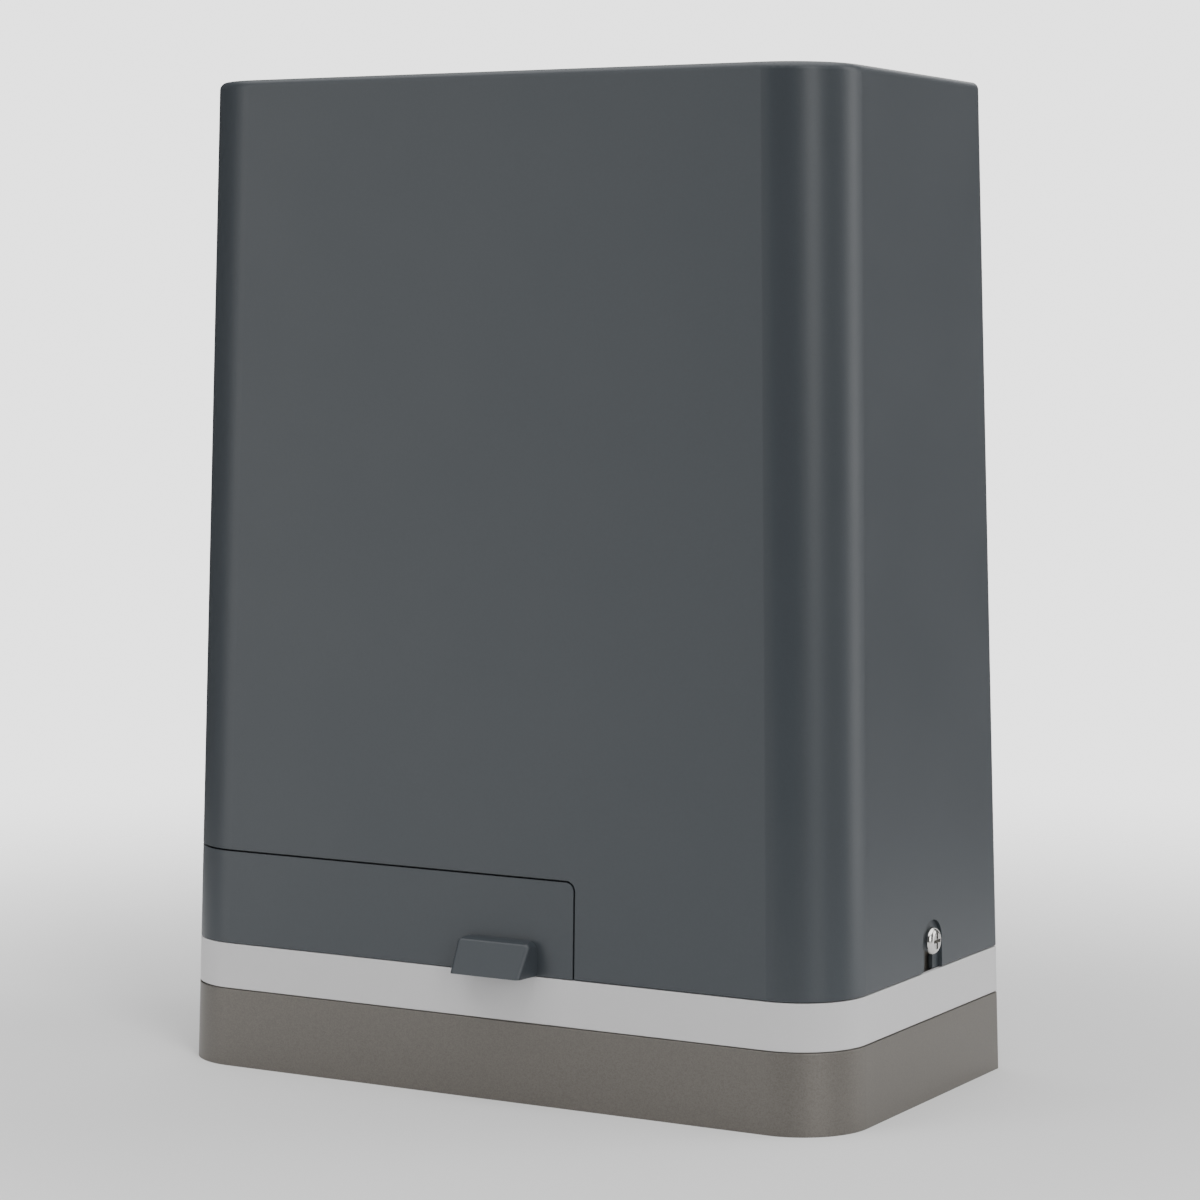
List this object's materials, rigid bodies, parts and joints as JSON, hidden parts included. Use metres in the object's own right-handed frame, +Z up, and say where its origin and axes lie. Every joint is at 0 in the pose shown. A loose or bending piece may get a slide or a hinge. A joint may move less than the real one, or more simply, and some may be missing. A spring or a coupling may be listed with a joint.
{
  "type": "sliding gate motor",
  "caption": "Sliding gate motor: tall tapered hood over a cast base, worm gearbox with rear drive pinion, manual release behind a front door.",
  "frame": {"origin": "centre of the foundation bolt pattern on the underside of the base", "axes": "+X to the right seen from the front, +Y towards the gate (back, pinion side), +Z up"},
  "size_m": [0.2674, 0.1894, 0.35],
  "materials": {
    "hood_plastic": "satin moulded, fine grain",
    "band_plastic": "satin moulded, light grey",
    "base_paint": "satin grey powder coat on cast aluminium",
    "cast_aluminium": "as cast, lightly blasted",
    "zinc_steel": "zinc plated",
    "bearing_steel": "ground",
    "shaft_steel": "turned",
    "pinion_steel": "zinc plated, cut teeth",
    "wheel_bronze": "cut bronze",
    "black_rubber": "matt",
    "motor_paint": "satin black",
    "core_sheet": "stacked sheet steel",
    "copper_coil": "enamelled copper",
    "black_plastic": "fine grain",
    "white_plastic": "satin",
    "knob_plastic": "satin",
    "board_green": "solder mask",
    "terminal_plastic": "satin",
    "relay_plastic": "gloss",
    "capacitor_sleeve": "gloss sleeve",
    "display_face": "dark red window"
  },
  "bodies": {
    "root": {"base_casting": "base_paint", "base_band": "band_plastic", "band_screws": "zinc_steel", "levelling_screws": "zinc_steel", "base_screws": "zinc_steel", "cable_grommet": "black_rubber", "hood_seal": "black_rubber", "hood_screws": "zinc_steel", "gearbox_case": "cast_aluminium", "case_bolts": "zinc_steel", "cover_gasket": "black_rubber", "gearbox_cover": "cast_aluminium", "cover_screws": "zinc_steel", "release_panel": "black_plastic", "shaft_seal": "black_rubber", "bearing_outer_rings": "bearing_steel", "bearing_balls": "bearing_steel", "motor_flange": "cast_aluminium", "motor_can": "motor_paint", "stator_core": "core_sheet", "stator_coils": "copper_coil", "motor_end_cap": "cast_aluminium", "motor_bolts": "zinc_steel", "run_capacitor": "white_plastic", "board_bracket": "zinc_steel", "board_carrier": "black_plastic", "circuit_board": "board_green", "board_screws": "zinc_steel", "terminal_blocks": "terminal_plastic", "relays": "relay_plastic", "board_capacitors": "capacitor_sleeve", "board_display": "display_face", "button_housings": "black_plastic", "transformer_core": "core_sheet", "transformer_coil": "copper_coil", "transformer_bracket": "zinc_steel", "limit_switch_box": "black_plastic", "limit_switch_screws": "zinc_steel"},
    "hood": {"hood": "hood_plastic", "door_hinge_pin": "zinc_steel"},
    "door": {"release_door": "hood_plastic"},
    "release_knob": {"release_knob": "knob_plastic", "release_spindle": "shaft_steel"},
    "lock": {"lock_cylinder": "shaft_steel"},
    "fork": {"shift_fork": "wheel_bronze"},
    "output": {"worm_wheel": "wheel_bronze", "output_shaft": "shaft_steel", "drive_pinion": "pinion_steel", "pinion_key": "shaft_steel", "pinion_bolt": "zinc_steel", "output_bearing_inner_rings": "bearing_steel", "clutch_key": "shaft_steel"},
    "clutch": {"clutch_ring": "shaft_steel"},
    "rotor": {"rotor_shaft": "shaft_steel", "rotor_core": "core_sheet", "rotor_bearing_inner_rings": "bearing_steel"},
    "limit_lever": {"limit_lever": "zinc_steel"},
    "button_1": {"program_button_1": "white_plastic"},
    "button_2": {"program_button_2": "white_plastic"},
    "button_3": {"program_button_3": "white_plastic"}
  },
  "joints": [
    {"name": "hood_lift", "type": "slide", "parent": "root", "child": "hood", "axis": [0, 0, 1], "range_m": [0, 0.31]},
    {"name": "door_swing", "type": "hinge", "parent": "hood", "child": "door", "pos_m": [-0.13035, -0.02, 0.0608], "axis": [0, 0, 1], "range_deg": [-95, 0]},
    {"name": "knob_turn", "type": "hinge", "parent": "root", "child": "release_knob", "pos_m": [-0.008, -0.0525, 0.062], "axis": [0, 1, 0], "range_deg": [0, 90]},
    {"name": "key_turn", "type": "hinge", "parent": "release_knob", "child": "lock", "pos_m": [-0.008, -0.0585, 0.062], "axis": [0, 1, 0], "range_deg": [0, 90]},
    {"name": "fork_shift", "type": "slide", "parent": "root", "child": "fork", "axis": [0, -1, 0], "range_m": [0, 0.0045]},
    {"name": "output_spin", "type": "hinge", "parent": "root", "child": "output", "pos_m": [-0.046, 0.09, 0.064], "axis": [0, 1, 0], "continuous": true},
    {"name": "clutch_shift", "type": "slide", "parent": "output", "child": "clutch", "axis": [0, -1, 0], "range_m": [0, 0.0045]},
    {"name": "rotor_spin", "type": "hinge", "parent": "root", "child": "rotor", "pos_m": [0.0025, 0.011, 0.2], "axis": [0, 0, 1], "continuous": true},
    {"name": "limit_lever_swing", "type": "hinge", "parent": "root", "child": "limit_lever", "pos_m": [-0.046, 0.071, 0.121], "axis": [0, 1, 0], "range_deg": [-35, 35], "stiffness_Nm_per_rad": 0.1},
    {"name": "button_1_press", "type": "slide", "parent": "root", "child": "button_1", "axis": [0, 1, 0], "range_m": [0, 0.0006], "stiffness_N_per_m": 500, "springref_m": -0.001},
    {"name": "button_2_press", "type": "slide", "parent": "root", "child": "button_2", "axis": [0, 1, 0], "range_m": [0, 0.0006], "stiffness_N_per_m": 500, "springref_m": -0.001},
    {"name": "button_3_press", "type": "slide", "parent": "root", "child": "button_3", "axis": [0, 1, 0], "range_m": [0, 0.0006], "stiffness_N_per_m": 500, "springref_m": -0.001}
  ],
  "couplings": [
    {"joint": "knob_turn", "follows": "fork_shift", "rad_per_m": 349.07},
    {"joint": "clutch_shift", "follows": "fork_shift", "ratio": 1},
    {"joint": "rotor_spin", "follows": "output_spin", "ratio": 30}
  ]
}
